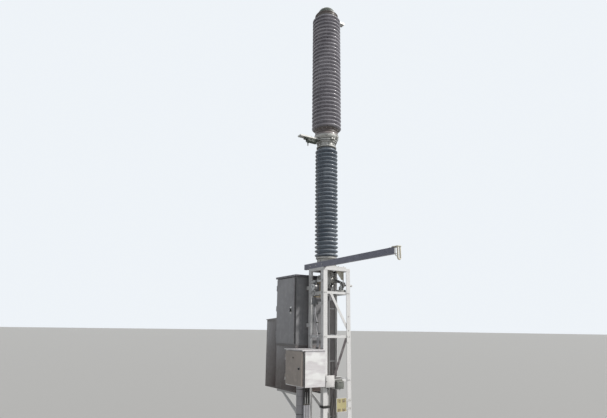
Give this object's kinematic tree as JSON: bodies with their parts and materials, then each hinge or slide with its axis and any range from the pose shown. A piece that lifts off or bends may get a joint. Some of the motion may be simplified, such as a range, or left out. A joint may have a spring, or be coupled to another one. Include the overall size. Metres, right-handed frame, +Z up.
{
  "type": "single-pole live-tank circuit breaker",
  "caption": "One pole of an outdoor substation circuit breaker: a two-stage porcelain column on a lattice frame with mechanism cabinet and junction box.",
  "frame": {"origin": "on the plinth's underside, midway between the four corner posts", "axes": "+Z up, along the column; -Y is the frame's front face; the mechanism cabinet is on the +Y side and the junction box on the -X side"},
  "size_m": [1.061, 3.202, 7.847],
  "materials": {
    "arm_paint": "weathered grey paint with a purple cast",
    "beige_plastic": "moulded terminal blocks",
    "black_plastic": "black",
    "box_door_paint": "tan-grey paint on folded sheet",
    "brass": "drawn tube",
    "bright_steel": "bright steel",
    "brown_grey_paint": "brown-grey paint",
    "brown_porcelain": "brown-grey glazed porcelain",
    "cast_aluminium": "sand cast, silver painted",
    "concrete": "rough cast concrete, yellowish",
    "conduit_plastic": "pale ribbed conduit",
    "cream_paint": "cream paint",
    "dark_hose": "smooth dark blue-grey plastic duct",
    "dark_paint": "dark grey paint",
    "dark_steel": "dark steel",
    "door_paint": "mid-grey paint, a little lighter than the shell",
    "flange_paint": "dark brown-grey paint on cast flanges",
    "galvanised_steel": "hot dip galvanised, off-white",
    "green_grey_paint": "grey-green paint",
    "grey_paint": "mid-grey paint",
    "grey_porcelain": "blue-green grey glazed porcelain",
    "olive_paint": "dark olive paint",
    "stainless_steel": "brushed stainless sheet",
    "white_paint": "white paint",
    "yellow_paint": "yellowish plate with a pale border"
  },
  "bodies": {
    "root": {"plinth": "concrete", "foot_plates": "galvanised_steel", "post_front_left": "galvanised_steel", "post_front_right": "galvanised_steel", "post_rear_left": "galvanised_steel", "post_rear_right": "galvanised_steel", "top_frame": "galvanised_steel", "upper_tie_ring": "galvanised_steel", "middle_tie_ring": "galvanised_steel", "lower_tie_ring": "galvanised_steel", "rear_tie": "galvanised_steel", "front_braces": "galvanised_steel", "cable_tray": "galvanised_steel", "tray_cables": "black_plastic", "column_plate": "galvanised_steel", "drive_housing": "cast_aluminium", "bearing_bracket": "cream_paint", "drive_lever": "dark_steel", "dashpot": "cast_aluminium", "drive_rod": "bright_steel", "filling_valve": "white_paint", "base_flange": "cast_aluminium", "support_insulator": "grey_porcelain", "support_cap_flange": "cast_aluminium", "neck_housing": "cast_aluminium", "lower_terminal": "cast_aluminium", "terminal_clamp": "olive_paint", "interrupter_base_flange": "flange_paint", "interrupter_insulator": "brown_porcelain", "interrupter_top_flange": "flange_paint", "top_cap": "olive_paint", "lifting_eyes": "bright_steel", "upper_terminal": "cast_aluminium", "cabinet_shell": "grey_paint", "cabinet_roof": "dark_paint", "operating_cylinder": "cast_aluminium", "lower_housing": "brown_grey_paint", "cabinet_brackets": "galvanised_steel", "cabinet_bearers": "galvanised_steel", "junction_box_shell": "stainless_steel", "junction_box_roof": "stainless_steel", "terminal_strips": "beige_plastic", "junction_box_brackets": "galvanised_steel", "cable_hose": "dark_hose", "conduits": "conduit_plastic", "conduit_cables": "black_plastic", "riser_conduit": "conduit_plastic", "instrument_rails": "galvanised_steel", "density_gauge": "dark_steel", "pressure_switch": "dark_steel", "gas_pipes": "brass", "switch_box": "white_paint", "socket_box": "green_grey_paint", "sign_plate": "yellow_paint", "side_arm": "arm_paint", "arm_loops": "cream_paint"},
    "cabinet_door": {"cabinet_door": "door_paint", "cabinet_handle": "black_plastic"},
    "junction_box_door": {"junction_box_door": "box_door_paint", "junction_box_lock": "black_plastic"}
  },
  "joints": [
    {"name": "cabinet_door_hinge", "type": "hinge", "parent": "root", "child": "cabinet_door", "pos_m": [-0.47, 0.902, 2.125], "axis": [0, 0, -1], "range_deg": [0, 110]},
    {"name": "junction_box_door_hinge", "type": "hinge", "parent": "root", "child": "junction_box_door", "pos_m": [-0.654, 0.237, 1.33], "axis": [0, 0, -1], "range_deg": [0, 110]}
  ]
}
